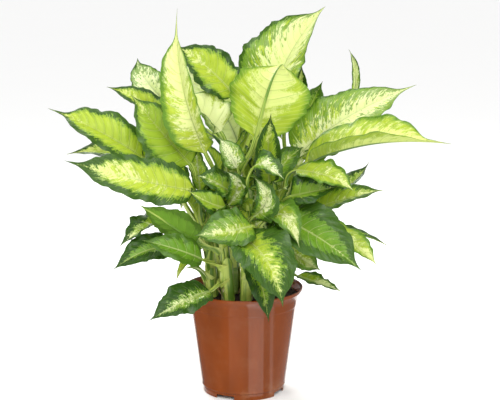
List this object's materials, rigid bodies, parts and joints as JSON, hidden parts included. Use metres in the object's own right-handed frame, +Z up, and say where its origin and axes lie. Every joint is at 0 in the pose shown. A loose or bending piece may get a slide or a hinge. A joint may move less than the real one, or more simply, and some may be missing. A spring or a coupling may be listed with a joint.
{
  "type": "potted dieffenbachia",
  "caption": "Bushy house plant with broad green and cream leaves on upright canes, growing in a round tapered plastic pot of soil.",
  "frame": {"origin": "middle of the pot's underside, on the surface that the pot stands on", "axes": "+Z up along the pot's axis; -Y is the front, the side that the picture shows; +X is to the right as seen from the front"},
  "size_m": [0.556, 0.3938, 0.549],
  "materials": {
    "pot_plastic": "glossy brown",
    "potting_soil": "rough, dark, crumbly",
    "stem_green": "smooth, slightly waxy",
    "leaf_variegated": "satin, cream and lime with a green edge"
  },
  "bodies": {
    "root": {"leaf_a1": "leaf_variegated", "leaf_a2": "leaf_variegated", "leaf_a3": "leaf_variegated", "leaf_a4": "leaf_variegated", "leaf_a5": "leaf_variegated", "leaf_a6": "leaf_variegated", "leaf_b1": "leaf_variegated", "leaf_b2": "leaf_variegated", "leaf_b3": "leaf_variegated", "leaf_b4": "leaf_variegated", "leaf_c1": "leaf_variegated", "leaf_c2": "leaf_variegated", "leaf_c3": "leaf_variegated", "leaf_c4": "leaf_variegated", "leaf_c5": "leaf_variegated", "leaf_c6": "leaf_variegated", "leaf_c7": "leaf_variegated", "leaf_d1": "leaf_variegated", "leaf_d2": "leaf_variegated", "leaf_d3": "leaf_variegated", "leaf_d4": "leaf_variegated", "leaf_d5": "leaf_variegated", "leaf_d6": "leaf_variegated", "leaf_d7": "leaf_variegated", "leaf_e1": "leaf_variegated", "leaf_e2": "leaf_variegated", "leaf_e3": "leaf_variegated", "leaf_e4": "leaf_variegated", "leaf_e5": "leaf_variegated", "leaf_e6": "leaf_variegated", "leaf_e7": "leaf_variegated", "leaf_f1": "leaf_variegated", "leaf_f2": "leaf_variegated", "leaf_f3": "leaf_variegated", "leaf_f4": "leaf_variegated", "leaf_f5": "leaf_variegated", "leaf_f6": "leaf_variegated", "leaf_f7": "leaf_variegated", "leaf_f8": "leaf_variegated", "leaf_g1": "leaf_variegated", "leaf_g2": "leaf_variegated", "leaf_g3": "leaf_variegated", "leaf_g4": "leaf_variegated", "leaf_g5": "leaf_variegated", "leaf_g6": "leaf_variegated", "leaf_h1": "leaf_variegated", "leaf_h2": "leaf_variegated", "leaf_h3": "leaf_variegated", "leaf_h4": "leaf_variegated", "leaf_h5": "leaf_variegated", "pot": "pot_plastic", "soil": "potting_soil", "stem_a": "stem_green", "stem_b": "stem_green", "stem_c": "stem_green", "stem_d": "stem_green", "stem_e": "stem_green", "stem_f": "stem_green", "stem_g": "stem_green", "stem_h": "stem_green"}
  },
  "joints": []
}
